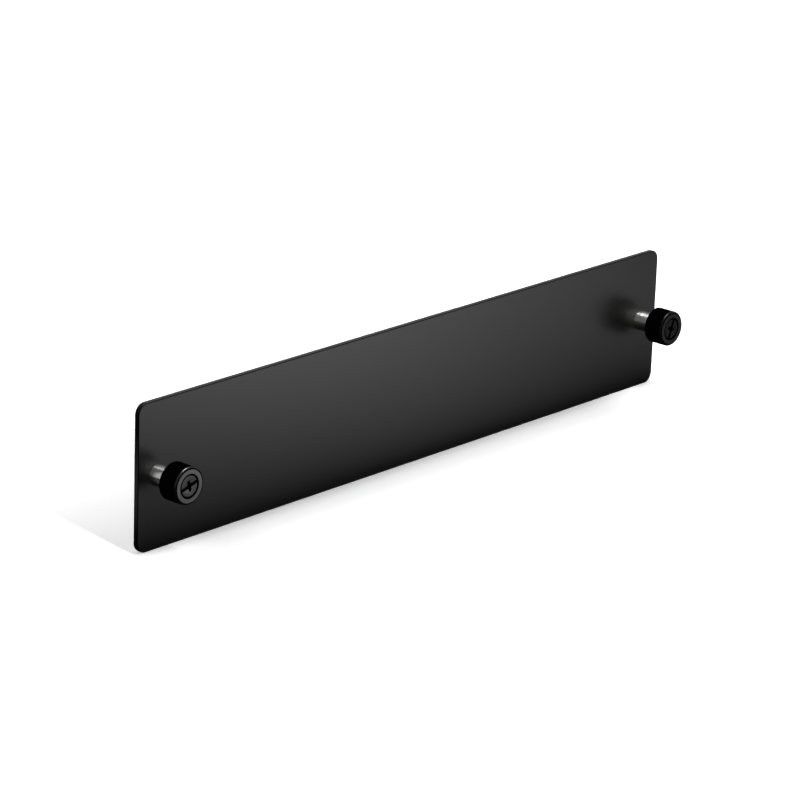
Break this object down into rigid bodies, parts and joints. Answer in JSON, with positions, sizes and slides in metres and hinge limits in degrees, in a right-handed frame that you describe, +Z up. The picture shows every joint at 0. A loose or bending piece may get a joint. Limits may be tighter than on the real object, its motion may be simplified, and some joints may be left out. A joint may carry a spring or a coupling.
{
  "type": "chassis blank plate",
  "caption": "Flat black sheet-metal plate that closes an empty slot in the front of a rack chassis, held by sprung captive thumbscrews near its ends.",
  "frame": {"origin": "middle of the plate's rear face, which seats on the chassis", "axes": "+X along the plate to the right as seen from the front, +Y into the chassis, +Z up"},
  "size_m": [0.213, 0.0134, 0.041],
  "materials": {
    "powder_coat": "satin black powder coat on steel sheet",
    "black_anodised": "satin black anodised",
    "blackened_steel": "black zinc plated",
    "nickel_plate": "bright nickel plated",
    "spring_steel": "drawn stainless wire"
  },
  "bodies": {
    "panel": {"plate": "powder_coat", "left_ferrule": "nickel_plate", "right_ferrule": "nickel_plate"},
    "left_spring_body": {"left_spring": "spring_steel"},
    "left_thumbscrew": {"left_knob": "black_anodised", "left_screw": "blackened_steel"},
    "right_spring_body": {"right_spring": "spring_steel"},
    "right_thumbscrew": {"right_knob": "black_anodised", "right_screw": "blackened_steel"}
  },
  "joints": [
    {"name": "left_turn", "type": "hinge", "parent": "panel", "child": "left_spring_body", "pos_m": [-0.0996, 0, 0], "axis": [0, 1, 0], "continuous": true},
    {"name": "left_push", "type": "slide", "parent": "left_spring_body", "child": "left_thumbscrew", "axis": [0, 1, 0], "range_m": [0, 0.0034], "stiffness_N_per_m": 755, "springref_m": -0.0015, "deforming": ["left_spring"]},
    {"name": "right_turn", "type": "hinge", "parent": "panel", "child": "right_spring_body", "pos_m": [0.0996, 0, 0], "axis": [0, 1, 0], "continuous": true},
    {"name": "right_push", "type": "slide", "parent": "right_spring_body", "child": "right_thumbscrew", "axis": [0, 1, 0], "range_m": [0, 0.0034], "stiffness_N_per_m": 755, "springref_m": -0.0015, "deforming": ["right_spring"]}
  ]
}
